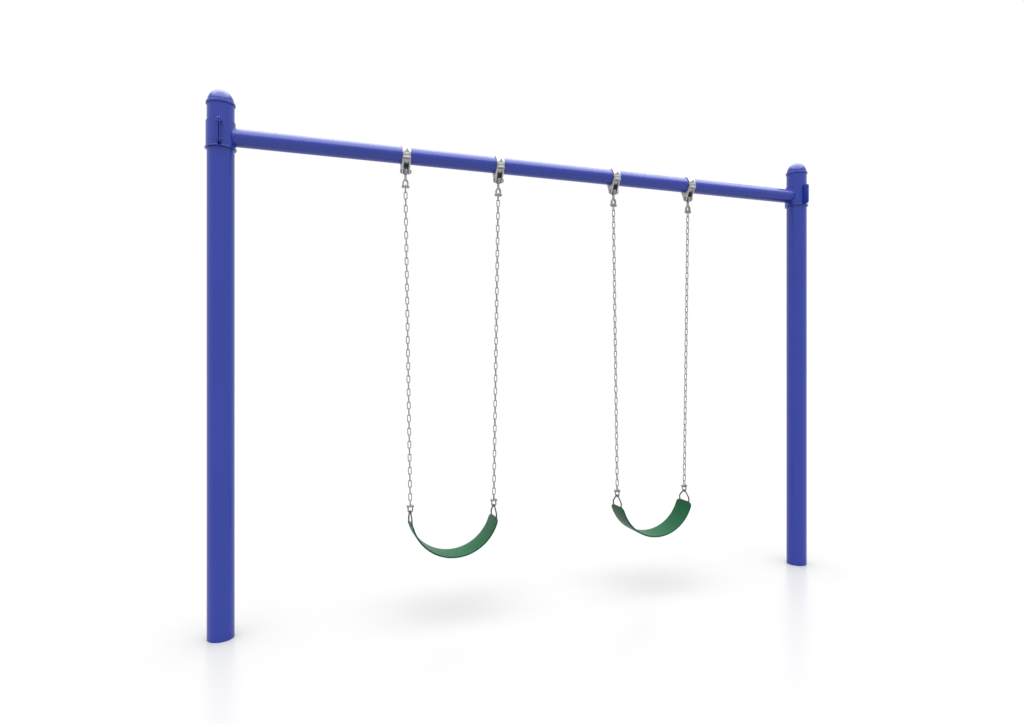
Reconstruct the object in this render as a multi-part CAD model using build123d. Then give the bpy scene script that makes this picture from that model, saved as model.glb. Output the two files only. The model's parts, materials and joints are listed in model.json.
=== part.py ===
from build123d import *
import os
from math import asin, atan2, cos, degrees, hypot, radians, sin, tan

# Two-seat playground swing set: two upright posts, one crossbeam, four clamp-on
# hangers, and two belt seats on chains.
# Millimetres. The origin is on the ground midway between the posts, +X runs along
# the crossbeam to the right post, -Y is the front and +Z is up.

# ---- driving dimensions -----------------------------------------------------
# Frame
post_spacing = 3580.0            # centre to centre of the two posts
post_diameter = 127.0
post_wall = 3.0
post_rise = 162.0                # open top of the tube above the crossbeam axis
beam_diameter = 88.9
beam_wall = 3.2
beam_height = 2495.0             # axis of the crossbeam above the ground
small_edge = 0.8                 # broken edge on cut and cast pieces

# Domed cap on each post
cap_wall = 3.0
cap_rim_wall = 4.3
cap_rim_edge = 3.0               # rounded top edge of the rim
cap_overlap = 9.0                # how far the rim reaches down the tube
cap_rim_height = 13.0
cap_dome_inset = 6.0             # step from the rim in to the dome
cap_clearance = 0.2

# Two-piece collar that joins the crossbeam to a post
collar_height = 128.0
collar_wall = 4.7
collar_rise = 4.0                # collar centre above the crossbeam axis
collar_clearance = 0.2
collar_split = 4.6               # open slit between the two halves
flange_thickness = 4.6
flange_width = 34.6              # from the collar's wall to a flange's outer edge
flange_height = 124.0
flange_corner = 10.0
flange_bolt_out = 19.6           # bolt axis from the collar's wall
flange_bolt_pitch = 88.0         # between the two bolts of one flange
ring_width = 10.0  # radial width of the support ring under the collar
ring_height = 6.0
ring_edge = 2.2
ring_clearance = 0.1

# Swings, placed along the crossbeam from the mid-span
swing_centres = (-607.0, 659.4)
hanger_spacing = 530.0  # between the two hangers of one swing
seat_spacing = 477.0  # between the two chain ends at the seat

# Hanger clamp on the crossbeam
clamp_width = 45.0  # along the crossbeam
clamp_wall = 6.0
clamp_drop = 12.0  # split between the halves, below the crossbeam axis
clamp_split = 3.0
clamp_bolt_out = 14.5            # clamp bolt axis from the crossbeam's surface
clamp_lug_margin = 9.5  # from the bolt axis to the front or back face
upper_lug_depth = 12.5
lower_lug_bottom = 27.5          # underside of the lower lugs below the crossbeam axis
clamp_clearance = 0.1
clamp_corner = 20.0              # rounded ends of the lugs, seen from above
ear_thickness = 8.0
ear_end_radius = 15.5
pad_depth = 40.0                 # rubber pad between the ears, front to back
pad_clearance = 0.1
pad_gap = 4.0                    # from the pad down to the pendulum's barrel
pivot_gap = 39.55  # pivot axis below the crossbeam's underside

# Pendulum that swings in the hanger
barrel_radius = 19.0
barrel_length = 18.0
bushing_radius = 10.0
bushing_side_clearance = 0.4
neck_width = 10.0
neck_depth = 13.0
fork_drop = 83.0  # chain bolt below the pivot axis
fork_inner_width = 17.0
fork_arm = 7.0
fork_depth = 15.0
fork_window = 31.0  # top of the fork's window above the chain bolt
fork_shoulder = 26.0  # where the fork reaches its full width, above the bolt
fork_roof = 44.0  # where the shoulders meet the neck, above the bolt
fork_end_radius = 8.5  # Chain
link_wire = 5.5
link_inner_length = 36.05
link_side_clearance = 0.7        # chain bolt in a link's opening
link_gap = 0.3                   # free play between neighbouring links
seat_clearance = 299.0           # wanted height of the seats above the ground

# Lower shackle and the seat ring
shackle_rod = 8.0
shackle_inner_width = 16.0
shackle_straight = 23.5  # from the bolt down to the bowl centre
shackle_eye_radius = 8.2
seat_ring_rod = 8.0
seat_ring_width = 108.0          # over the rod, along the seat's end
seat_ring_drop = 59.0  # base rod below the shackle's bowl
seat_ring_leg = 28.0  # upright part of the ring's two legs
seat_ring_corner = 7.0
seat_ring_arch = 16.0            # bend over the shackle's bowl
seat_ring_shoulder = 12.0
hang_gap = 0.3                   # free play where one rod hangs on another

# Belt seat
belt_width = 158.0
belt_thickness = 8.5
belt_sag = 188.0  # seat middle below its ends
belt_corner = 24.0
belt_bead_wall = 3.0  # rubber round the ring's rod
belt_bead_lip = 0.6  # how far the bead closes over the rod's middle
belt_rod_clearance = 0.3

# Fasteners: shank diameter, width across flats, head height, nut height, end past the nut
collar_bolt = (9.5, 14.3, 6.0, 8.0, 2.0)
clamp_bolt = (9.5, 15.9, 6.0, 8.5, 12.0)
pivot_bolt = (12.7, 19.0, 6.0, 8.0, 2.0)
fork_bolt = (9.5, 14.3, 4.5, 4.5, 0.8)
shackle_bolt = (8.0, 12.7, 4.0, 4.0, 0.8)
hole_clearance = 0.3             # radial, bolt shank in a plain hole
thread_clearance = 0.03          # radial, nut on its bolt
running_clearance = 0.08         # radial, bushing on the pivot bolt

# ---- derived sizes ----------------------------------------------------------
post_radius = post_diameter / 2
post_height = beam_height + post_rise
beam_radius = beam_diameter / 2
post_places = (-post_spacing / 2, post_spacing / 2)
collar_inner = post_radius + collar_clearance
collar_outer = collar_inner + collar_wall
collar_centre = beam_height + collar_rise
collar_bottom = collar_centre - collar_height / 2
flange_reach = collar_outer + flange_width
flange_bolt_reach = collar_outer + flange_bolt_out
support_ring_inner = post_radius + ring_clearance
support_ring_height = collar_bottom - ring_height / 2 - ring_clearance

clamp_inner = beam_radius + clamp_clearance
clamp_outer = clamp_inner + clamp_wall
clamp_bolt_reach = beam_radius + clamp_bolt_out
clamp_reach = clamp_bolt_reach + clamp_lug_margin
upper_lug_bottom = clamp_split / 2 - clamp_drop
lower_lug_top = -clamp_split / 2 - clamp_drop
pivot_drop = beam_radius + pivot_gap
pivot_height = beam_height - pivot_drop
ear_gap = clamp_width - 2 * ear_thickness
bushing_length = ear_gap - 2 * bushing_side_clearance
fork_height = pivot_height - fork_drop
fork_outer_width = fork_inner_width + 2 * fork_arm

link_inner_width = fork_bolt[0] + link_side_clearance
link_pitch = link_inner_length - link_gap
shackle_bend = (shackle_inner_width + shackle_rod) / 2
seat_stack = (shackle_straight + shackle_bend + seat_ring_drop + belt_sag + belt_thickness / 2)
chain_lean = (hanger_spacing - seat_spacing) / 2
end_fit = link_inner_length - fork_bolt[0] / 2 - shackle_bolt[0] / 2 - 2 * hang_gap
wanted_links = (fork_height - seat_clearance - seat_stack - end_fit) / link_pitch
link_count = 2 * round(wanted_links / 2) + 1     # odd, so both end links face the same way
chain_run = (link_count - 1) * link_pitch + end_fit
chain_height = (chain_run ** 2 - chain_lean ** 2) ** 0.5
chain_angle = degrees(atan2(chain_lean, chain_height))
shackle_height = fork_height - chain_height
bowl_height = shackle_height - shackle_straight - shackle_bend
seat_ring_base = bowl_height - seat_ring_drop
belt_radius = ((seat_spacing / 2) ** 2 + belt_sag ** 2) / (2 * belt_sag)
belt_half_angle = degrees(asin(seat_spacing / 2 / belt_radius))
belt_axis_height = seat_ring_base - belt_sag + belt_radius


# ---- shared shapes ----------------------------------------------------------
def rod(radius, length, axis="Z"):
    """A round bar centred on the origin along the named axis."""
    turn = {"X": (0, 90, 0), "Y": (90, 0, 0), "Z": (0, 0, 0)}[axis]
    return Rot(*turn) * Cylinder(radius, length)


def tube(outer, inner, length, axis="Z"):
    return rod(outer, length, axis) - rod(inner, length + 2, axis)


def hexagon(across_flats, height):
    """A six-sided prism standing on the XY plane, with its top corners turned off."""
    corner = across_flats / 3 ** 0.5
    prism = extrude(RegularPolygon(corner, 6), height)
    turned = Pos(0, 0, height / 2) * Cylinder(corner, height)
    turned = chamfer(turned.edges().group_by(Axis.Z)[-1], (corner - across_flats / 2) * 0.9)
    return prism & turned


def bolt_along_z(size, grip):
    """A bolt with its head under the grip's start at the origin, pointing up."""
    shank, flats, head, nut, end = size
    length = grip + nut + end
    shaft = Pos(0, 0, length / 2) * Cylinder(shank / 2, length)
    shaft = chamfer(shaft.edges().group_by(Axis.Z)[-1], small_edge)
    return shaft + Rot(180, 0, 0) * hexagon(flats, head)


def nut_along_z(size, grip):
    shank, flats, head, nut, end = size
    body = hexagon(flats, nut)
    bore = Pos(0, 0, nut / 2) * Cylinder(shank / 2 + thread_clearance, nut + 2)
    return Pos(0, 0, grip) * (body - bore)


def lay_along_x(shape, start):
    """Turns a fastener that points up so that it points along +X from the start."""
    return Pos(start) * (Rot(0, 90, 0) * shape)


def half_ball(radius):
    """The upper half of a ball, with its flat face on the XY plane."""
    return Sphere(radius, arc_size1=0, align=(Align.CENTER, Align.CENTER, Align.MIN))


def keep(shape, corner_a, corner_b):
    """The stretch of a shape inside a box given by two opposite corners."""
    low = [min(a, b) for a, b in zip(corner_a, corner_b)]
    high = [max(a, b) for a, b in zip(corner_a, corner_b)]
    size = [b - a for a, b in zip(low, high)]
    middle = [(a + b) / 2 for a, b in zip(low, high)]
    return shape & (Pos(*middle) * Box(*size))


def single(shape):
    """The one solid of a shape, free of any grouping."""
    solids = shape.solids()
    assert len(solids) == 1, f"expected one solid, found {len(solids)}"
    return solids[0]


# ---- frame ------------------------------------------------------------------
def post():
    return Pos(0, 0, post_height / 2) * tube(post_radius, post_radius - post_wall, post_height)


def post_cap():
    """A domed cap whose rim slips over the tube's open end."""
    rim_inner = post_radius + cap_clearance
    rim_outer = rim_inner + cap_rim_wall
    dome = rim_outer - cap_dome_inset
    rim_top = cap_rim_height - cap_overlap
    rim = Pos(0, 0, rim_top - cap_rim_height / 2) * Cylinder(rim_outer, cap_rim_height)
    rim = fillet(rim.edges().group_by(Axis.Z)[-1], cap_rim_edge)
    shell = rim + Pos(0, 0, rim_top) * half_ball(dome)
    hollow = Pos(0, 0, rim_top) * half_ball(dome - cap_wall)
    hollow += Pos(0, 0, rim_top / 2) * Cylinder(dome - cap_wall, rim_top)
    socket = Pos(0, 0, -cap_overlap) * Cylinder(rim_inner, 2 * cap_overlap)
    return Pos(0, 0, post_height) * (shell - hollow - socket)


def support_ring():
    ring = tube(support_ring_inner + ring_width, support_ring_inner, ring_height)
    circles = ring.edges().filter_by(GeomType.CIRCLE)
    outer = [edge for edge in circles if edge.radius > support_ring_inner + 1]
    return Pos(0, 0, support_ring_height) * fillet(outer, ring_edge)


def collar_half():
    """The half of a collar on the +X side of its post, with a flange front and back."""
    face = collar_split / 2
    shell = tube(collar_outer, collar_inner, collar_height)
    shell = keep(shell, (face, -collar_outer, -collar_height), (collar_outer, collar_outer, collar_height))
    plate = Box(flange_thickness, 2 * flange_reach, flange_height)
    plate = fillet(plate.edges().filter_by(Axis.X), flange_corner)
    plate = Pos(face + flange_thickness / 2, 0, 0) * plate
    plate -= rod(collar_inner, flange_height + 2)
    half = shell + plate
    for y in (-flange_bolt_reach, flange_bolt_reach):
        for z in (-flange_bolt_pitch / 2, flange_bolt_pitch / 2):
            half -= Pos(face, y, z) * rod(collar_bolt[0] / 2 + hole_clearance, 6 * flange_thickness, "X")
    return Pos(0, 0, collar_centre) * half


def crossbeam():
    """The top tube, its two ends shaped to sit against the collars."""
    beam = tube(beam_radius, beam_radius - beam_wall, post_spacing, "X")
    for x in post_places:
        beam -= Pos(x, 0, 0) * rod(collar_outer, 3 * beam_diameter)
    return Pos(0, 0, beam_height) * beam


def collar_fasteners(make):
    """Every bolt, or every nut, of both collars as separate solids."""
    grip = collar_split + 2 * flange_thickness
    pieces = []
    for x in post_places:
        for y in (-flange_bolt_reach, flange_bolt_reach):
            for z in (-flange_bolt_pitch / 2, flange_bolt_pitch / 2):
                start = (x - grip / 2, y, collar_centre + z)
                pieces.append(lay_along_x(make(collar_bolt, grip), start))
    return pieces


# ---- hanger -----------------------------------------------------------------
def clamp_lugs(top, bottom):
    """A block from the front face to the back face, for the lugs of one clamp half."""
    block = Box(clamp_width, 2 * clamp_reach, top - bottom)
    block = fillet(block.edges().filter_by(Axis.Z), clamp_corner)
    return Pos(0, 0, (top + bottom) / 2) * block


def clamp_hole(y, top, bottom):
    hole = rod(clamp_bolt[0] / 2 + hole_clearance, top - bottom + 2)
    return Pos(0, y, (top + bottom) / 2) * hole


def hanger_cap():
    """Upper half of the clamp: a strap over the crossbeam and two lugs."""
    lug_top = upper_lug_bottom + upper_lug_depth
    band = rod(clamp_outer, clamp_width, "X")
    low_corner = (-clamp_width, -clamp_outer, upper_lug_bottom)
    high_corner = (clamp_width, clamp_outer, clamp_outer)
    band = keep(band, low_corner, high_corner)
    half = band + clamp_lugs(lug_top, upper_lug_bottom)
    half -= rod(clamp_inner, clamp_width + 2, "X")
    skirt = Pos(0, 0, upper_lug_bottom / 2) * Box(2 * clamp_width, 2 * clamp_inner, -upper_lug_bottom)
    half -= skirt
    for y in (-clamp_bolt_reach, clamp_bolt_reach):
        half -= clamp_hole(y, lug_top, upper_lug_bottom)
    return half


def ear_outline():
    """Side view of an ear in the YZ plane: straight sides from the strap's round to the pivot's."""
    lean = asin((clamp_outer - ear_end_radius) / pivot_drop)
    right = [(clamp_outer * cos(lean), -clamp_outer * sin(lean)),
             (ear_end_radius * cos(lean), -pivot_drop - ear_end_radius * sin(lean))]
    outline = Polygon(*right, *[(-y, z) for y, z in reversed(right)], align=None)
    outline += Circle(clamp_outer)
    outline += Pos(0, -pivot_drop) * Circle(ear_end_radius)
    return outline


def hanger_yoke():
    """Lower half of the clamp: a strap, two lugs and the two ears of the pivot."""
    ears = extrude(Plane.YZ * ear_outline(), clamp_width / 2, both=True)
    ears -= Box(ear_gap, 3 * clamp_outer, 4 * pivot_drop)
    half = ears + rod(clamp_outer, clamp_width, "X")
    low_corner = (-clamp_width, -2 * clamp_outer, -2 * pivot_drop)
    high_corner = (clamp_width, 2 * clamp_outer, lower_lug_top)
    half = keep(half, low_corner, high_corner)
    half += clamp_lugs(lower_lug_top, -lower_lug_bottom)
    half -= rod(clamp_inner, clamp_width + 2, "X")
    for y in (-clamp_bolt_reach, clamp_bolt_reach):
        half -= clamp_hole(y, lower_lug_top, -lower_lug_bottom)
    half -= Pos(0, 0, -pivot_drop) * rod(pivot_bolt[0] / 2 + hole_clearance, 2 * clamp_width, "X")
    return half


def hanger_pad():
    """A rubber pad between the ears, shaped to the strap above it and clear of the barrel."""
    low = -(pivot_drop - barrel_radius - pad_gap)
    pad = keep(Box(ear_gap - 2 * pad_clearance, pad_depth, 4 * pivot_drop),
               (-clamp_width, -pad_depth, low), (clamp_width, pad_depth, 0))
    return pad - rod(clamp_outer + pad_clearance, clamp_width + 2, "X")


def clamp_fasteners(make):
    """Every clamp bolt, or every clamp nut, with the bolt heads under the lower lugs."""
    grip = lower_lug_bottom + upper_lug_bottom + upper_lug_depth
    bottom = beam_height - lower_lug_bottom
    return [Pos(x, y, bottom) * make(clamp_bolt, grip)
            for x in hanger_places for y in (-clamp_bolt_reach, clamp_bolt_reach)]


def pivot_fasteners(make):
    return [lay_along_x(make(pivot_bolt, clamp_width), (x - clamp_width / 2, 0, pivot_height))
            for x in hanger_places]


# ---- pendulum ---------------------------------------------------------------
def pendulum():
    """Barrel on the pivot, a neck and a fork that holds the chain's bolt."""
    outer = fork_outer_width / 2
    right = [(neck_width / 2, fork_drop), (neck_width / 2, fork_roof), (outer, fork_shoulder),
             (outer, -fork_end_radius)]
    outline = Polygon(*right, *[(-x, z) for x, z in reversed(right)], align=None)
    arch = fork_window - fork_inner_width / 2
    window = Pos(0, arch) * Circle(fork_inner_width / 2)
    window += Pos(0, arch) * Rectangle(fork_inner_width, 3 * arch, align=(Align.CENTER, Align.MAX))
    fork = extrude(Plane.XZ * (outline - window), fork_depth / 2, both=True)
    side = Circle(fork_end_radius)
    side += Rectangle(2 * fork_end_radius, fork_shoulder, align=(Align.CENTER, Align.MIN))
    side += Polygon((-fork_end_radius, fork_shoulder), (fork_end_radius, fork_shoulder),
                    (neck_depth / 2, fork_roof), (-neck_depth / 2, fork_roof), align=None)
    side += Rectangle(neck_depth, fork_drop, align=(Align.CENTER, Align.MIN))
    fork &= extrude(Plane.YZ * side, fork_outer_width, both=True)
    body = Pos(0, 0, -fork_drop) * fork + rod(barrel_radius, barrel_length, "X")
    body -= rod(bushing_radius, barrel_length + 2, "X")
    body -= Pos(0, 0, -fork_drop) * rod(fork_bolt[0] / 2 + thread_clearance, 2 * fork_outer_width, "X")
    return Pos(0, 0, pivot_height) * body


def bushing():
    """A plain bushing, longer than the barrel so that it spaces it between the ears."""
    bore = pivot_bolt[0] / 2 + running_clearance
    return Pos(0, 0, pivot_height) * tube(bushing_radius, bore, bushing_length, "X")


def fork_fastener(make):
    start = (-fork_outer_width / 2, 0, fork_height)
    return lay_along_x(make(fork_bolt, fork_outer_width), start)


# ---- chain ------------------------------------------------------------------
def link():
    """One long link standing along Z in the YZ plane."""
    bend = (link_inner_width + link_wire) / 2
    straight = link_inner_length - link_inner_width
    wire = link_wire / 2
    body = Pos(0, bend, 0) * rod(wire, straight) + Pos(0, -bend, 0) * rod(wire, straight)
    half_ring = keep(Rot(0, 90, 0) * Torus(bend, wire),
                     (-link_wire, -2 * bend, 0), (link_wire, 2 * bend, 2 * bend))
    body += Pos(0, 0, straight / 2) * half_ring
    body += Pos(0, 0, -straight / 2) * (Rot(180, 0, 0) * half_ring)
    return single(body)


def chain(side):
    """All links of one chain below a hanger at x = 0; side is +1 if it leans to +X."""
    shape = link()
    first = fork_bolt[0] / 2 + hang_gap - link_inner_length / 2
    pieces = []
    for number in range(link_count):
        quarter_turn = 90 * (number % 2)
        drop = Pos(0, 0, first - number * link_pitch)
        pieces.append(drop * Rot(0, 0, quarter_turn) * shape)
    lean = Pos(0, 0, fork_height) * Rot(0, -side * chain_angle, 0)
    return [lean * piece for piece in pieces]


# ---- shackle and seat -------------------------------------------------------
def shackle():
    """A bowl-shaped shackle at x = 0, with an eye at each end for its bolt."""
    wire = shackle_rod / 2
    bowl = keep(Rot(90, 0, 0) * Torus(shackle_bend, wire),
                (-2 * shackle_bend, -shackle_rod, 0), (2 * shackle_bend, shackle_rod, -2 * shackle_bend))
    body = Pos(0, 0, -shackle_straight) * bowl
    for x in (-shackle_bend, shackle_bend):
        body += Pos(x, 0, -shackle_straight / 2) * rod(wire, shackle_straight)
        body += Pos(x, 0, 0) * rod(shackle_eye_radius, shackle_rod, "X")
    body -= rod(shackle_bolt[0] / 2 + thread_clearance, 4 * shackle_bend, "X")
    return Pos(0, 0, shackle_height) * body


def shackle_fastener(make):
    width = shackle_inner_width + 2 * shackle_rod
    return lay_along_x(make(shackle_bolt, width), (-width / 2, 0, shackle_height))


def seat_ring(rod_radius):
    """A five-sided ring of round bar in the YZ plane, hanging on the shackle's bowl."""
    arch_centre = seat_ring_drop + shackle_rod / 2 + hang_gap + seat_ring_rod / 2 - seat_ring_arch
    half_base = (seat_ring_width - seat_ring_rod) / 2
    roof_rise = arch_centre - seat_ring_leg
    roof_angle = atan2(half_base, roof_rise) - asin(seat_ring_arch / hypot(half_base, roof_rise))
    apex = arch_centre + seat_ring_arch / sin(roof_angle)
    outline = Polygon((-half_base, 0), (half_base, 0), (half_base, seat_ring_leg), (0, apex),
                      (-half_base, seat_ring_leg), align=None)
    outline = fillet(outline.vertices().group_by(Axis.Y)[-1], seat_ring_arch)
    outline = fillet(outline.vertices().group_by(Axis.Y)[0], seat_ring_corner)
    outline = fillet(ring_shoulders(outline), seat_ring_shoulder)
    path = (Plane.YZ * outline).wires()[0]
    section = Plane(origin=path @ 0.0, z_dir=path % 0.0) * Circle(rod_radius)
    return Pos(0, 0, seat_ring_base) * sweep(section, path=path)


def ring_shoulders(outline):
    """The two sharp corners where the ring's upright legs meet its roof."""
    return [v for v in outline.vertices() if abs(v.Y - seat_ring_leg) < 0.01]


def belt():
    """The seat's curved band at x = 0, with a bead at each end round its ring's rod."""
    half = belt_thickness / 2
    band = tube(belt_radius + half, belt_radius - half, belt_width, "Y")
    reach = 2 * belt_radius
    sides = reach * tan(radians(90 - belt_half_angle))
    corners = [(0, 0), (-reach, -sides), (-reach, -reach), (reach, -reach), (reach, -sides)]
    wedge = Polygon(*corners, align=None)
    band &= extrude(Plane.XZ * wedge, belt_width, both=True)
    corners = [edge for edge in band.edges().filter_by(GeomType.LINE) if edge.length < belt_width / 2]
    band = fillet(corners, belt_corner)
    bead_radius = seat_ring_rod / 2 + belt_rod_clearance + belt_bead_wall
    bead_length = seat_ring_width - 2 * seat_ring_rod
    lid = Box(4 * bead_radius, belt_width, 2 * bead_radius, align=(Align.CENTER, Align.CENTER, Align.MIN))
    for end in (-1, 1):
        place = Rot(0, end * (90 - belt_half_angle), 0)
        rod_place = place * Pos(end * belt_radius, 0, 0)
        band += rod_place * rod(bead_radius, bead_length, "Y")
        band -= Pos(rod_place.position) * Pos(0, 0, belt_bead_lip) * lid
    body = Pos(0, 0, belt_axis_height) * band
    for x in (-seat_spacing / 2, seat_spacing / 2):
        body -= Pos(x, 0, 0) * seat_ring(seat_ring_rod / 2 + belt_rod_clearance)
    return body


# ---- assembly ---------------------------------------------------------------
hanger_places = [centre + side * hanger_spacing / 2 for centre in swing_centres for side in (-1, 1)]


def frame_nodes():
    nodes = {"crossbeam": [crossbeam()]}
    for name, x, turn in (("left", post_places[0], 0), ("right", post_places[1], 180)):
        nodes[f"{name}_post"] = [Pos(x, 0, 0) * post()]
        nodes[f"{name}_post_cap"] = [Pos(x, 0, 0) * post_cap()]
        nodes[f"{name}_support_ring"] = [Pos(x, 0, 0) * support_ring()]
        nodes[f"{name}_collar_inner"] = [Pos(x, 0, 0) * Rot(0, 0, turn) * collar_half()]
        nodes[f"{name}_collar_outer"] = [Pos(x, 0, 0) * Rot(0, 0, turn + 180) * collar_half()]
    nodes["collar_bolts"] = collar_fasteners(bolt_along_z)
    nodes["collar_nuts"] = collar_fasteners(nut_along_z)
    for number, x in enumerate(hanger_places, 1):
        nodes[f"hanger_{number}_cap"] = [Pos(x, 0, beam_height) * hanger_cap()]
        nodes[f"hanger_{number}_yoke"] = [Pos(x, 0, beam_height) * hanger_yoke()]
        nodes[f"hanger_{number}_pad"] = [Pos(x, 0, beam_height) * hanger_pad()]
    nodes["clamp_bolts"] = clamp_fasteners(bolt_along_z)
    nodes["clamp_nuts"] = clamp_fasteners(nut_along_z)
    nodes["pivot_bolts"] = pivot_fasteners(bolt_along_z)
    nodes["pivot_nuts"] = pivot_fasteners(nut_along_z)
    return nodes


def chain_nodes():
    """The pendulum, its fasteners and the chain below each hanger."""
    nodes = {}
    for number, x in enumerate(hanger_places, 1):
        place = Pos(x, 0, 0)
        nodes[f"pendulum_{number}"] = [place * pendulum()]
        nodes[f"pendulum_{number}_bushing"] = [place * bushing()]
        nodes[f"pendulum_{number}_bolt"] = [place * fork_fastener(bolt_along_z)]
        nodes[f"pendulum_{number}_nut"] = [place * fork_fastener(nut_along_z)]
        side = 1 if number % 2 else -1
        nodes[f"chain_{number}"] = [place * piece for piece in chain(side)]
    return nodes


def seat_nodes():
    nodes = {}
    for name, centre in zip(("left", "right"), swing_centres):
        ends = [Pos(centre + side * seat_spacing / 2, 0, 0) for side in (-1, 1)]
        nodes[f"{name}_shackles"] = [end * shackle() for end in ends]
        nodes[f"{name}_shackle_bolts"] = [end * shackle_fastener(bolt_along_z) for end in ends]
        nodes[f"{name}_shackle_nuts"] = [end * shackle_fastener(nut_along_z) for end in ends]
        nodes[f"{name}_seat_rings"] = [end * seat_ring(seat_ring_rod / 2) for end in ends]
        nodes[f"{name}_belt_seat"] = [Pos(centre, 0, 0) * belt()]
    return nodes


os.makedirs("parts", exist_ok=True)
for node, pieces in {**frame_nodes(), **chain_nodes(), **seat_nodes()}.items():
    solids = [single(piece) for piece in pieces]
    export_step(solids[0] if len(solids) == 1 else Compound(children=solids), f"parts/{node}.step")
print(f"chain bolt {fork_height:.1f}, shackle bolt {shackle_height:.1f}, bowl {bowl_height:.1f}")
print(f"links {link_count}, seat underside {belt_axis_height - belt_radius - belt_thickness / 2:.1f}")
print(f"seat rod {seat_ring_base:.1f}, belt radius {belt_radius:.1f}, half angle {belt_half_angle:.2f}")
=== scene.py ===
import json
import math

import bmesh
import bpy
from mathutils import Matrix, Vector


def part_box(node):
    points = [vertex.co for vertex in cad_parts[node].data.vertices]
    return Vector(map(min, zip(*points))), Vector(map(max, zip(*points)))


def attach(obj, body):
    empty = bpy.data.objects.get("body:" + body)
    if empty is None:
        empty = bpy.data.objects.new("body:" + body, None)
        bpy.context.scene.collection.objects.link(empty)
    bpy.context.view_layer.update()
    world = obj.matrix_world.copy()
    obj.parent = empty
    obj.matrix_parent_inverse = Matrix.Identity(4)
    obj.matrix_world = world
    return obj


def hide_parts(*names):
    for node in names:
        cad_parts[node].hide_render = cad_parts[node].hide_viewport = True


# Looks of the two-seat swing set. Metres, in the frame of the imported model:
# origin on the ground midway between the posts, +X along the crossbeam, -Y the front.

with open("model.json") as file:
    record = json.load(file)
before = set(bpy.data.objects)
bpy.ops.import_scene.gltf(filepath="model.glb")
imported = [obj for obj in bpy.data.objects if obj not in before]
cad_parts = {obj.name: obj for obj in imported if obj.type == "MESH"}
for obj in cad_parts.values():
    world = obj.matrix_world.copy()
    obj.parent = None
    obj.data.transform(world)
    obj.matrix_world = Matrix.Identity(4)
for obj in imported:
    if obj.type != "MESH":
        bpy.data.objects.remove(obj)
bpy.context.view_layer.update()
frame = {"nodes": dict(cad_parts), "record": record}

# ---- sizes ---------------------------------------------------------------------
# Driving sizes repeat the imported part's own, because its source can't be read here.
joints = {joint["name"]: Vector(joint["pos_m"]) for joint in frame["record"]["behaviour"]["joints"]}
post_low, post_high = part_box("left_post")
post_radius = (post_high.x - post_low.x) / 2
post_wall = 0.003
post_places = {name: sum(c.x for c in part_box(f"{name}_post")) / 2 for name in ("left", "right")}
beam_low, beam_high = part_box("crossbeam")
beam_radius = (beam_high.z - beam_low.z) / 2
beam_height = (beam_high.z + beam_low.z) / 2
beam_wall = 0.0032
collar_outer = 0.0684
weld_bead_radius = 0.0028
weld_ripple = 0.07               # how much every other ring of the weld bead swells
weld_lift = 0.0006               # bead centre outside the crossbeam's wall
weld_inset = 0.0008              # bead centre along the crossbeam, away from the collar
cut_edge = 0.0006                # small rounding at the ends of tubes and rims
cap_overlap = 0.009
cap_rim_height = 0.013
cap_rim_edge = 0.003
cap_rim_inner = post_radius + 0.0002
cap_rim_outer = cap_rim_inner + 0.0043
cap_dome = cap_rim_outer - 0.006
cap_wall = 0.003
cap_crease = 0.0008              # small step where the dome meets its rim
support_ring_edge = 0.0022
support_ring_gap = 0.0001

link_wire = 0.0055
link_inner_length = 0.03605
link_inner_width = 0.0102
link_pitch = 0.03575
link_count = 49
link_swell = (1.0, 1.07, 1.13, 1.07, 1.0)   # the butt weld halfway along one side of a link
fork_bolt_radius = 0.00475
hang_gap = 0.0003

shackle_rod = 0.008
ring_rod = 0.008
ring_half_base = 0.050
ring_drop = 0.059
ring_leg = 0.028
ring_corner = 0.007
ring_shoulder = 0.012
ring_arch = 0.016
belt_width = 0.158
belt_thickness = 0.0085
belt_sag = 0.188
belt_corner = 0.024
belt_edge_share = 0.75           # rounding of the belt's edges, as a share of half its thickness
belt_edge_band = 0.0034          # how far the darker trimmed edge reaches in from each side
bead_bore = ring_rod / 2 + 0.0003
bead_radius = bead_bore + 0.003
bead_lip = 0.0006
bead_half_length = 0.046
bead_end_band = 0.0008           # narrow band at each end of a bead, for crisp shading

collar_softness = 0.0008         # how far the edges of the kept pieces are broken
hanger_softness = 0.0009
pad_softness = 0.0012
pendulum_softness = 0.0008
shackle_softness = 0.0007
sharp_angle = 32                 # degrees, above which an edge of a kept piece is broken

round_steps = 128                # facets round a post, a cap, a ring or the crossbeam
link_bend_steps = 10
belt_curve_steps = 72
belt_corner_steps = 10


# ---- mesh helpers --------------------------------------------------------------
def add_to_scene(name, data):
    obj = bpy.data.objects.new(name, data)
    bpy.context.scene.collection.objects.link(obj)
    return obj


def new_object(name, bm, smooth=True):
    mesh = bpy.data.meshes.new(name)
    bmesh.ops.recalc_face_normals(bm, faces=bm.faces)
    bm.to_mesh(mesh)
    bm.free()
    obj = add_to_scene(name, mesh)
    if smooth:
        for face in mesh.polygons:
            face.use_smooth = True
    return obj


def sharpen(obj, angle=35):
    """Marks edges sharper than the angle, so that flat faces meet crisply."""
    obj.data.set_sharp_from_angle(angle=math.radians(angle))
    return obj


def add_ring(bm, points):
    return [bm.verts.new(p) for p in points]


def bridge(bm, ring_a, ring_b):
    count = len(ring_a)
    for i in range(count):
        j = (i + 1) % count
        bm.faces.new((ring_a[i], ring_a[j], ring_b[j], ring_b[i]))


def bridge_round(bm, rings):
    """Joins each ring to the next, and the last one to the first."""
    for ring_a, ring_b in zip(rings, rings[1:] + rings[:1]):
        bridge(bm, ring_a, ring_b)


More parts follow.
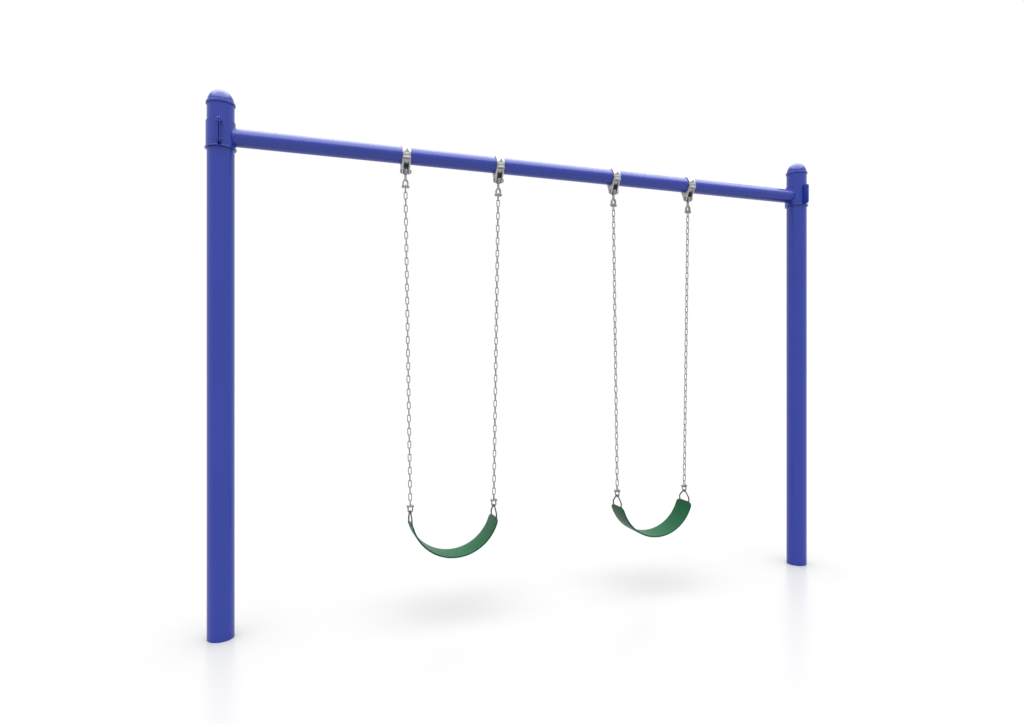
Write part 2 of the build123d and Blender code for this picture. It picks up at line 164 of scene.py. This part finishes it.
def lathe(bm, profile, centre):
    """Turns a closed profile of (radius, height) points round the vertical line through centre."""
    cx, cy, cz = centre
    rings = []
    for radius, height in profile:
        if radius == 0:
            rings.append([bm.verts.new((cx, cy, cz + height))])
            continue
        turns = (2 * math.pi * i / round_steps for i in range(round_steps))
        points = [(cx + radius * math.cos(t), cy + radius * math.sin(t), cz + height) for t in turns]
        rings.append(add_ring(bm, points))
    for a, b in zip(rings, rings[1:] + rings[:1]):
        if len(a) == 1 and len(b) == 1:
            continue
        if len(a) == 1 or len(b) == 1:
            tip, ring = (a[0], b) if len(a) == 1 else (b[0], a)
            for i in range(len(ring)):
                bm.faces.new((tip, ring[i], ring[(i + 1) % len(ring)]))
        else:
            bridge(bm, a, b)


def arc(cx, cy, radius, start, end, steps):
    """Points of an arc in a plane, with its angles in degrees."""
    turns = [math.radians(start + (end - start) * i / steps) for i in range(steps + 1)]
    return [(cx + radius * math.cos(t), cy + radius * math.sin(t)) for t in turns]


def sweep_loop(bm, points, normal, radius, sides, swell=None):
    """A round rod along a closed flat loop of points whose plane has the given normal."""
    count = len(points)
    rings = []
    for i, here in enumerate(points):
        along = (points[(i + 1) % count] - points[i - 1]).normalized()
        out = along.cross(normal).normalized()
        here_radius = radius * (swell[i] if swell else 1)
        rings.append(add_ring(bm, [here + here_radius * (math.cos(t) * out + math.sin(t) * normal)
                                   for t in (2 * math.pi * k / sides for k in range(sides))]))
    bridge_round(bm, rings)


def rounded_loop(corners, steps):
    """A closed flat path from (u, v, radius) corners, each replaced by its arc."""
    path = []
    count = len(corners)
    for i, (u, v, radius) in enumerate(corners):
        here = Vector((u, v))
        back = (Vector(corners[i - 1][:2]) - here).normalized()
        ahead = (Vector(corners[(i + 1) % count][:2]) - here).normalized()
        half = math.acos(max(-1, min(1, back.dot(ahead)))) / 2
        centre = here + (back + ahead).normalized() * radius / math.sin(half)
        start = here + back * radius / math.tan(half) - centre
        turn = start.angle_signed(here + ahead * radius / math.tan(half) - centre)
        for k in range(steps + 1):
            spin = Matrix.Rotation(-turn * k / steps, 2)
            path.append(centre + spin @ start)
    return path


# ---- materials -----------------------------------------------------------------
# Painted shade: the zinc finishes are darkened by ambient occlusion where nearby surfaces block the light.
crevice_reach = 0.03             # metres round a point in which other surfaces shade it
closed_crevice = 0.15            # share of open sky at which the painted crevice shade is at its darkest
open_surface = 0.85              # and at which no painted shade is left
coat_dark = (0.0050, 0.0190, 0.205)
coat_light = (0.0060, 0.0220, 0.222)
coat_rough = (0.26, 0.33)
belt_dark = (0.0020, 0.048, 0.0175)
belt_light = (0.0032, 0.064, 0.024)
belt_edge_colour = (0.003, 0.040, 0.018)
belt_rough = (0.34, 0.44)
belt_specular = 0.10
rough_spread = 0.06              # how far a dark coat's roughness strays either way


def grey(value, blue=0.0):
    """A grey, with a little more blue where asked."""
    return (value, value, value + blue)


def material(name):
    """A new material with its shader, and functions that add and join nodes."""
    mat = bpy.data.materials.new(name)
    mat.use_nodes = True
    tree = mat.node_tree
    shader = tree.nodes["Principled BSDF"]

    def add(kind, **settings):
        node = tree.nodes.new(kind)
        for key, value in settings.items():
            if key in node.inputs:
                node.inputs[key].default_value = value
            else:
                setattr(node, key, value)
        return node

    def join(source, output, target, socket):
        tree.links.new(source.outputs[output], target.inputs[socket])

    return mat, shader, add, join


def ramp(add, stops):
    """A colour ramp with a colour at each of the given places."""
    node = add("ShaderNodeValToRGB")
    elements = node.color_ramp.elements
    while len(elements) < len(stops):
        elements.new(0.5)
    for element, (place, colour) in zip(elements, stops):
        element.position = place
        element.color = (*colour, 1)
    return node


def spread(add, join, source, output, low, high, start=0.0, end=1.0):
    """A node that maps a pattern from start..end to low..high."""
    node = add("ShaderNodeMapRange")
    node.inputs["From Min"].default_value = start
    node.inputs["From Max"].default_value = end
    node.inputs["To Min"].default_value = low
    node.inputs["To Max"].default_value = high
    join(source, output, node, "Value")
    return node


def paint_crevice_shade(add, join, colours, shader, shade_depth):
    """Darkens a finish in its crevices with painted shade from ambient occlusion, and joins it to the
    shader.
    """
    # painted shade: ambient occlusion darkens the colour where other surfaces are close
    crevice = add("ShaderNodeAmbientOcclusion", samples=8, Distance=crevice_reach)
    shade = spread(add, join, crevice, "AO", shade_depth, 1.0, start=closed_crevice, end=open_surface)
    tint = add("ShaderNodeVectorMath", operation="SCALE")
    join(colours, "Color", tint, 0)
    join(shade, "Result", tint, "Scale")
    join(tint, "Vector", shader, "Base Color")


def powder_coat():
    """Smooth blue powder coat with a faint orange peel and slight changes of tone."""
    mat, shader, add, join = material("blue_powder_coat")
    place = add("ShaderNodeTexCoord")
    tone = add("ShaderNodeTexNoise", Scale=2.2, Detail=3.0)
    join(place, "Object", tone, "Vector")
    colours = ramp(add, [(0.3, coat_dark), (0.7, coat_light)])
    join(tone, "Fac", colours, "Fac")
    join(colours, "Color", shader, "Base Color")
    peel = add("ShaderNodeTexNoise", Scale=110.0, Detail=1.0)
    join(place, "Object", peel, "Vector")
    bump = add("ShaderNodeBump", Strength=0.05, Distance=0.00005)
    join(peel, "Fac", bump, "Height")
    join(bump, "Normal", shader, "Normal")
    gloss = spread(add, join, tone, "Fac", *coat_rough)
    join(gloss, "Result", shader, "Roughness")
    return mat


def zinc(name, dark, light, metallic, rough, cell, shade_depth=0.35):
    """Galvanised or zinc plated steel, with crystal patches of slightly different grey and painted shade
    darkening its crevices.
    """
    mat, shader, add, join = material(name)
    place = add("ShaderNodeTexCoord")
    spangle = add("ShaderNodeTexVoronoi", Scale=cell)
    join(place, "Object", spangle, "Vector")
    mottle = add("ShaderNodeTexNoise", Scale=cell * 0.7, Detail=5.0)
    join(place, "Object", mottle, "Vector")
    mix = add("ShaderNodeMix", data_type="FLOAT")
    mix.inputs["Factor"].default_value = 0.6
    join(spangle, "Color", mix, "A")
    join(mottle, "Fac", mix, "B")
    colours = ramp(add, [(0.25, dark), (0.75, light)])
    join(mix, "Result", colours, "Fac")
    # painted shade in the crevices
    paint_crevice_shade(add, join, colours, shader, shade_depth)
    gloss = spread(add, join, mix, "Result", *rough)
    join(gloss, "Result", shader, "Roughness")
    grain = add("ShaderNodeTexNoise", Scale=900.0, Detail=3.0)
    join(place, "Object", grain, "Vector")
    bump = add("ShaderNodeBump", Strength=0.12, Distance=0.0003)
    join(grain, "Fac", bump, "Height")
    join(bump, "Normal", shader, "Normal")
    shader.inputs["Metallic"].default_value = metallic
    return mat


def dark_coat(name, dark, light, rough):
    """A dark coat or moulding, slightly uneven in tone and gloss."""
    mat, shader, add, join = material(name)
    place = add("ShaderNodeTexCoord")
    tone = add("ShaderNodeTexNoise", Scale=60.0, Detail=5.0)
    join(place, "Object", tone, "Vector")
    colours = ramp(add, [(0.3, dark), (0.7, light)])
    join(tone, "Fac", colours, "Fac")
    join(colours, "Color", shader, "Base Color")
    gloss = spread(add, join, tone, "Fac", rough - rough_spread, rough + rough_spread)
    join(gloss, "Result", shader, "Roughness")
    bump = add("ShaderNodeBump", Strength=0.1, Distance=0.0003)
    join(tone, "Fac", bump, "Height")
    join(bump, "Normal", shader, "Normal")
    return mat


def rubber():
    """Green moulded rubber with a fine pebbled grain and darker trimmed edges."""
    mat, shader, add, join = material("green_rubber")
    place = add("ShaderNodeTexCoord")
    tone = add("ShaderNodeTexNoise", Scale=9.0, Detail=6.0)
    join(place, "Object", tone, "Vector")
    colours = ramp(add, [(0.3, belt_dark), (0.7, belt_light)])
    join(tone, "Fac", colours, "Fac")
    spot = add("ShaderNodeSeparateXYZ")
    join(place, "Object", spot, "Vector")
    side = add("ShaderNodeMath", operation="ABSOLUTE")
    join(spot, "Y", side, 0)
    edge = add("ShaderNodeMath", operation="GREATER_THAN")
    edge.inputs[1].default_value = belt_width / 2 - belt_edge_band
    join(side, "Value", edge, 0)
    trimmed = add("ShaderNodeMix", data_type="RGBA")
    trimmed.inputs["B"].default_value = (*belt_edge_colour, 1)
    join(edge, "Value", trimmed, "Factor")
    join(colours, "Color", trimmed, "A")
    join(trimmed, "Result", shader, "Base Color")
    pebble = add("ShaderNodeTexVoronoi", Scale=520.0)
    join(place, "Object", pebble, "Vector")
    bump = add("ShaderNodeBump", Strength=0.25, Distance=0.0004)
    join(pebble, "Distance", bump, "Height")
    join(bump, "Normal", shader, "Normal")
    gloss = spread(add, join, tone, "Fac", *belt_rough)
    join(gloss, "Result", shader, "Roughness")
    shader.inputs["Specular IOR Level"].default_value = belt_specular
    return mat


finishes = {
    "blue_powder_coat": powder_coat(),
    "black_rubber": dark_coat("black_rubber", grey(0.006), grey(0.014), rough=0.60),
    # the hanger casting carries the deepest painted crevice shade
    "hanger_casting": zinc("hanger_casting", grey(0.30), grey(0.46), metallic=0.45,
                           rough=(0.40, 0.55), cell=150.0, shade_depth=0.12),
    "galvanised_steel": zinc("galvanised_steel", grey(0.16, 0.01), grey(0.30, 0.01), metallic=0.7,
                             rough=(0.34, 0.48), cell=220.0),
    "bearing": dark_coat("bearing", grey(0.010), grey(0.022), rough=0.45),
    "chain_steel": zinc("chain_steel", grey(0.20, 0.005), grey(0.36, 0.01), metallic=0.75,
                        rough=(0.34, 0.48), cell=260.0),
    "fastener_steel": zinc("fastener_steel", grey(0.20, 0.01), grey(0.36, 0.02), metallic=0.8,
                           rough=(0.28, 0.40), cell=300.0),
    "dark_steel": dark_coat("dark_steel", grey(0.010, 0.001), grey(0.022, 0.002), rough=0.50),
    "green_rubber": rubber(),
}
slot_of = {part["node"]: part["material_slot"] for part in frame["record"]["subparts"]}
for node, obj in frame["nodes"].items():
    obj.data.materials.clear()
    obj.data.materials.append(finishes[slot_of[node]])


def dress(obj, node, body):
    """Gives a new piece its finish, lets it stand for its CAD node and ride on its body."""
    obj.data.materials.append(finishes[slot_of[node]])
    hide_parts(node)
    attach(obj, body)
    return obj


def soften(node, width):
    """Breaks the sharp edges of a piece that keeps its own shape."""
    obj = frame["nodes"][node]
    bevel = obj.modifiers.new("edges", "BEVEL")
    bevel.width = width
    bevel.segments = 2
    bevel.limit_method = "ANGLE"
    bevel.angle_limit = math.radians(sharp_angle)
    bevel.harden_normals = True


# ---- posts, caps and crossbeam ---------------------------------------------------
def post(name):
    """An open tube with slightly rounded outer edges."""
    top = post_high.z
    outer, inner = post_radius, post_radius - post_wall
    profile = [(outer, cut_edge), (outer, top - cut_edge), (outer - cut_edge, top)]
    profile += [(inner, top), (inner, 0), (outer - cut_edge, 0)]
    bm = bmesh.new()
    lathe(bm, profile, (post_places[name], 0, 0))
    return sharpen(new_object(f"{name}_post_tube", bm))


def post_cap(name):
    """A domed cap with a rounded rim that overlaps the tube."""
    rim_top = cap_rim_height - cap_overlap
    edge_radius = cap_rim_outer - cap_rim_edge
    inside = cap_dome - cap_wall
    profile = [(cap_rim_inner, -cap_overlap), (cap_rim_outer - cut_edge, -cap_overlap)]
    profile += [(cap_rim_outer, cut_edge - cap_overlap)]
    profile += arc(edge_radius, rim_top - cap_rim_edge, cap_rim_edge, 0, 90, 8)
    profile += [(cap_dome + cap_crease, rim_top), (cap_dome, rim_top + cap_crease)]
    profile += arc(0, rim_top, cap_dome, 2, 90, 30)[:-1] + [(0, rim_top + cap_dome)]
    profile += [(0, rim_top + inside)] + arc(0, rim_top, inside, 90, 0, 20)[1:]
    profile += [(inside, 0), (cap_rim_inner, 0)]
    bm = bmesh.new()
    lathe(bm, profile, (post_places[name], 0, post_high.z))
    return sharpen(new_object(f"{name}_cap_shell", bm), 40)


def support_ring(name):
    """The rounded band under a collar."""
    low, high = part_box(f"{name}_support_ring")
    outer = (high.x - low.x) / 2
    half = (high.z - low.z) / 2
    inner = post_radius + support_ring_gap
    edge = support_ring_edge
    profile = [(inner, -half), (outer - edge, -half)]
    profile += arc(outer - edge, edge - half, edge, -90, 0, 6)
    profile += arc(outer - edge, half - edge, edge, 0, 90, 6)
    profile += [(inner, half)]
    bm = bmesh.new()
    lathe(bm, profile, (post_places[name], 0, (high.z + low.z) / 2))
    return sharpen(new_object(f"{name}_ring_band", bm), 40)


def beam_end(y, place):
    """How far along X the crossbeam reaches at a given Y, against its collar."""
    inward = -1 if place > 0 else 1
    return place + inward * math.sqrt(collar_outer ** 2 - y ** 2)


def crossbeam():
    """The top tube, shaped at its ends, with the weld that joins it to each collar."""
    bm = bmesh.new()
    turns = [2 * math.pi * k / round_steps for k in range(round_steps)]
    bore = beam_radius - beam_wall
    rings = []
    for radius, side in ((beam_radius, "left"), (beam_radius, "right"), (bore, "right"), (bore, "left")):
        flat = [(radius * math.cos(t), beam_height + radius * math.sin(t)) for t in turns]
        rings.append(add_ring(bm, [(beam_end(y, post_places[side]), y, z) for y, z in flat]))
    bridge_round(bm, rings)
    for place in post_places.values():
        weld_bead(bm, place, turns)
    return sharpen(new_object("crossbeam_tube", bm))


def weld_bead(bm, place, turns, sides=8):
    """A small rippled bead along the seam between the crossbeam and a collar."""
    radius = beam_radius + weld_lift
    inward = 1 if place < 0 else -1
    along = Vector((1, 0, 0))
    around = [2 * math.pi * k / sides for k in range(sides)]
    rings = []
    for number, t in enumerate(turns):
        y = radius * math.cos(t)
        here = Vector((beam_end(y, place) + inward * weld_inset, y, beam_height + radius * math.sin(t)))
        out = Vector((0, math.cos(t), math.sin(t)))
        bead = weld_bead_radius * (1 + weld_ripple * math.cos(math.pi * number))
        points = [here + bead * (math.cos(a) * out + math.sin(a) * along) for a in around]
        rings.append(add_ring(bm, points))
    bridge_round(bm, rings)


for side in post_places:
    dress(post(side), f"{side}_post", "frame")
    dress(post_cap(side), f"{side}_post_cap", "frame")
    dress(support_ring(side), f"{side}_support_ring", "frame")
    soften(f"{side}_collar_inner", collar_softness)
    soften(f"{side}_collar_outer", collar_softness)
dress(crossbeam(), "crossbeam", "frame")


# ---- hangers and pendulums -------------------------------------------------------
for number in (1, 2, 3, 4):
    soften(f"hanger_{number}_cap", hanger_softness)
    soften(f"hanger_{number}_yoke", hanger_softness)
    soften(f"hanger_{number}_pad", pad_softness)
    soften(f"pendulum_{number}", pendulum_softness)


# ---- chains ----------------------------------------------------------------------
def link_path():
    """The centre line of a link in the plane of its width and length, and how it swells."""
    bend = (link_inner_width + link_wire) / 2
    half = (link_inner_length - link_inner_width) / 2
    path = arc(0, half, bend, 0, 180, link_bend_steps)
    path += [(-bend, half * k / 4) for k in (2, 1, 0, -1, -2)]
    path += arc(0, -half, bend, 180, 360, link_bend_steps)
    plain = [1.0] * (link_bend_steps + 1)
    return path, plain + list(link_swell) + plain


def chain(number, top, bottom):
    """The links from the fork's bolt down to the shackle's bolt, each a quarter turn on."""
    path, swell = link_path()
    down = (bottom - top).normalized()
    front = Vector((0, 1, 0))
    across = down.cross(front).normalized()
    bm = bmesh.new()
    for place in range(link_count):
        along = link_inner_length / 2 - fork_bolt_radius - hang_gap + place * link_pitch
        centre = top + along * down
        wide, normal = (front, across) if place % 2 == 0 else (across, front)
        points = [centre + u * wide - v * down for u, v in path]
        sweep_loop(bm, points, normal, link_wire / 2, sides=12, swell=swell)
    return new_object(f"chain_{number}_links", bm)


seat_places = {}
for name, first in (("left", 1), ("right", 3)):
    centre = joints[f"{name}_seat_pitch"].x
    near = joints[f"{name}_shackle_follower"]
    far = Vector((2 * centre - near.x, near.y, near.z))
    seat_places[name] = (near, far)
    for number, top, end in ((first, "sway", near), (first + 1, "sway_follower", far)):
        links = chain(number, joints[f"{name}_{top}"], end)
        dress(links, f"chain_{number}", f"chain_{number}")


# ---- shackles, seat rings and belts ----------------------------------------------
def ring_height(name):
    """Height of the rings' base bars above the ground."""
    return joints[f"{name}_seat_pitch"].z - ring_drop


def seat_rings(name):
    """The two rings of round bar at the ends of one belt."""
    arch_centre = ring_drop + shackle_rod / 2 + hang_gap + ring_rod / 2 - ring_arch
    rise = arch_centre - ring_leg
    reach = math.hypot(ring_half_base, rise)
    slope = math.atan2(ring_half_base, rise) - math.asin(ring_arch / reach)
    apex = arch_centre + ring_arch / math.sin(slope)
    corners = [(-ring_half_base, 0, ring_corner), (ring_half_base, 0, ring_corner),
               (ring_half_base, ring_leg, ring_shoulder), (0, apex, ring_arch),
               (-ring_half_base, ring_leg, ring_shoulder)]
    path = rounded_loop(corners, 12)
    bm = bmesh.new()
    for end in seat_places[name]:
        points = [Vector((end.x, u, ring_height(name) + v)) for u, v in path]
        sweep_loop(bm, points, Vector((1, 0, 0)), ring_rod / 2, sides=24)
    return new_object(f"{name}_ring_bars", bm)


def belt_section(half_width):
    """The band's section as (across, through) points, with rounded edges."""
    half = belt_thickness / 2
    edge = half * belt_edge_share
    across, through = half_width - edge, half - edge
    points = []
    for u, v, start in ((across, through, 0), (-across, through, 90),
                        (-across, -through, 180), (across, -through, 270)):
        points += arc(u, v, edge, start, start + 90, 6)
    return points


def belt_stations(length):
    """Places along the belt from its middle, closer together round the end corners."""
    quarter = math.pi / 2
    corner = [-length + belt_corner * (1 - math.cos(quarter * k / belt_corner_steps))
              for k in range(belt_corner_steps + 1)]
    middle = [(-length + belt_corner) * (1 - 2 * k / belt_curve_steps) for k in range(1, belt_curve_steps)]
    return corner + middle + [-place for place in reversed(corner)]


def belt(name):
    """A curved band with rounded corners and a moulded bead along each end."""
    near, far = seat_places[name]
    half_span = (far.x - near.x) / 2
    radius = (half_span ** 2 + belt_sag ** 2) / (2 * belt_sag)
    half_angle = math.asin(half_span / radius)
    centre = Vector(((near.x + far.x) / 2, 0, ring_height(name) - belt_sag + radius))
    length = radius * half_angle
    bm = bmesh.new()
    rings = []
    for along in belt_stations(length):
        inset = max(0.0, abs(along) - (length - belt_corner))
        half_width = belt_width / 2 - belt_corner + math.sqrt(max(0.0, belt_corner ** 2 - inset ** 2))
        turn = along / radius
        out = Vector((math.sin(turn), 0, -math.cos(turn)))
        section = belt_section(half_width)
        rings.append(add_ring(bm, [centre + (radius - v) * out + Vector((0, u, 0)) for u, v in section]))
    for a, b in zip(rings, rings[1:]):
        bridge(bm, a, b)
    bm.faces.new(rings[0])
    bm.faces.new(rings[-1])
    for end in (near, far):
        belt_bead(bm, Vector((end.x, 0, ring_height(name))))
    return sharpen(new_object(f"{name}_belt_band", bm), 50)


def belt_bead(bm, place):
    """The open cradle of rubber under and beside a ring's base rod."""
    outer_start = math.degrees(math.asin(bead_lip / bead_radius))
    inner_start = math.degrees(math.asin(bead_lip / bead_bore))
    profile = arc(0, 0, bead_radius, outer_start, -180 - outer_start, 32)
    profile += arc(0, 0, bead_bore, -180 - inner_start, inner_start, 24)
    shoulder = bead_half_length - bead_end_band
    sides = [add_ring(bm, [place + Vector((u, y, v)) for u, v in profile])
             for y in (-bead_half_length, -shoulder, shoulder, bead_half_length)]
    for a, b in zip(sides, sides[1:]):
        bridge(bm, a, b)
    bm.faces.new(sides[0])
    bm.faces.new(sides[-1])


for name in seat_places:
    dress(seat_rings(name), f"{name}_seat_rings", f"{name}_seat")
    dress(belt(name), f"{name}_belt_seat", f"{name}_seat")
    soften(f"{name}_shackles", shackle_softness)


# ---- camera, light and floor -----------------------------------------------------
camera_place = (-1.444, -3.490, 1.372)
camera_heading = -19.18          # degrees from straight ahead, level
camera_lens = 22.475
camera_shift = -0.0046
sensor_width = 36.0
sky_strength = 1.0
sun_width = 92                   # degrees across, so that it works as a large soft box overhead
sun_strength = 7.0
sun_tilt = 5                     # degrees from straight down, towards the camera's side
floor_size = 60
floor_tone = 0.325
floor_roughness = 0.28
floor_specular = 0.4


def set_camera():
    data = bpy.data.cameras.new("camera")
    data.lens = camera_lens
    data.sensor_width = sensor_width
    data.shift_x = camera_shift
    camera = add_to_scene("camera", data)
    camera.location = camera_place
    camera.rotation_euler = (math.radians(90), 0, math.radians(camera_heading))
    bpy.context.scene.camera = camera


def set_light():
    """An even white surround and one wide soft light overhead."""
    world = bpy.data.worlds.new("studio")
    bpy.context.scene.world = world
    world.use_nodes = True
    background = world.node_tree.nodes["Background"]
    background.inputs["Color"].default_value = (1, 1, 1, 1)
    background.inputs["Strength"].default_value = sky_strength
    lamp = bpy.data.lights.new("overhead", "SUN")
    lamp.angle = math.radians(sun_width)
    lamp.energy = sun_strength
    add_to_scene("overhead", lamp).rotation_euler = (math.radians(sun_tilt), 0, 0)


def set_floor():
    bm = bmesh.new()
    bmesh.ops.create_grid(bm, x_segments=2, y_segments=2, size=floor_size)
    floor = new_object("floor", bm, smooth=False)
    mat, shader = material("pale_floor")[:2]
    shader.inputs["Base Color"].default_value = (*grey(floor_tone), 1)
    shader.inputs["Roughness"].default_value = floor_roughness
    shader.inputs["Specular IOR Level"].default_value = floor_specular
    floor.data.materials.append(mat)


set_camera()
set_light()
set_floor()
bpy.context.scene.view_settings.view_transform = "Standard"
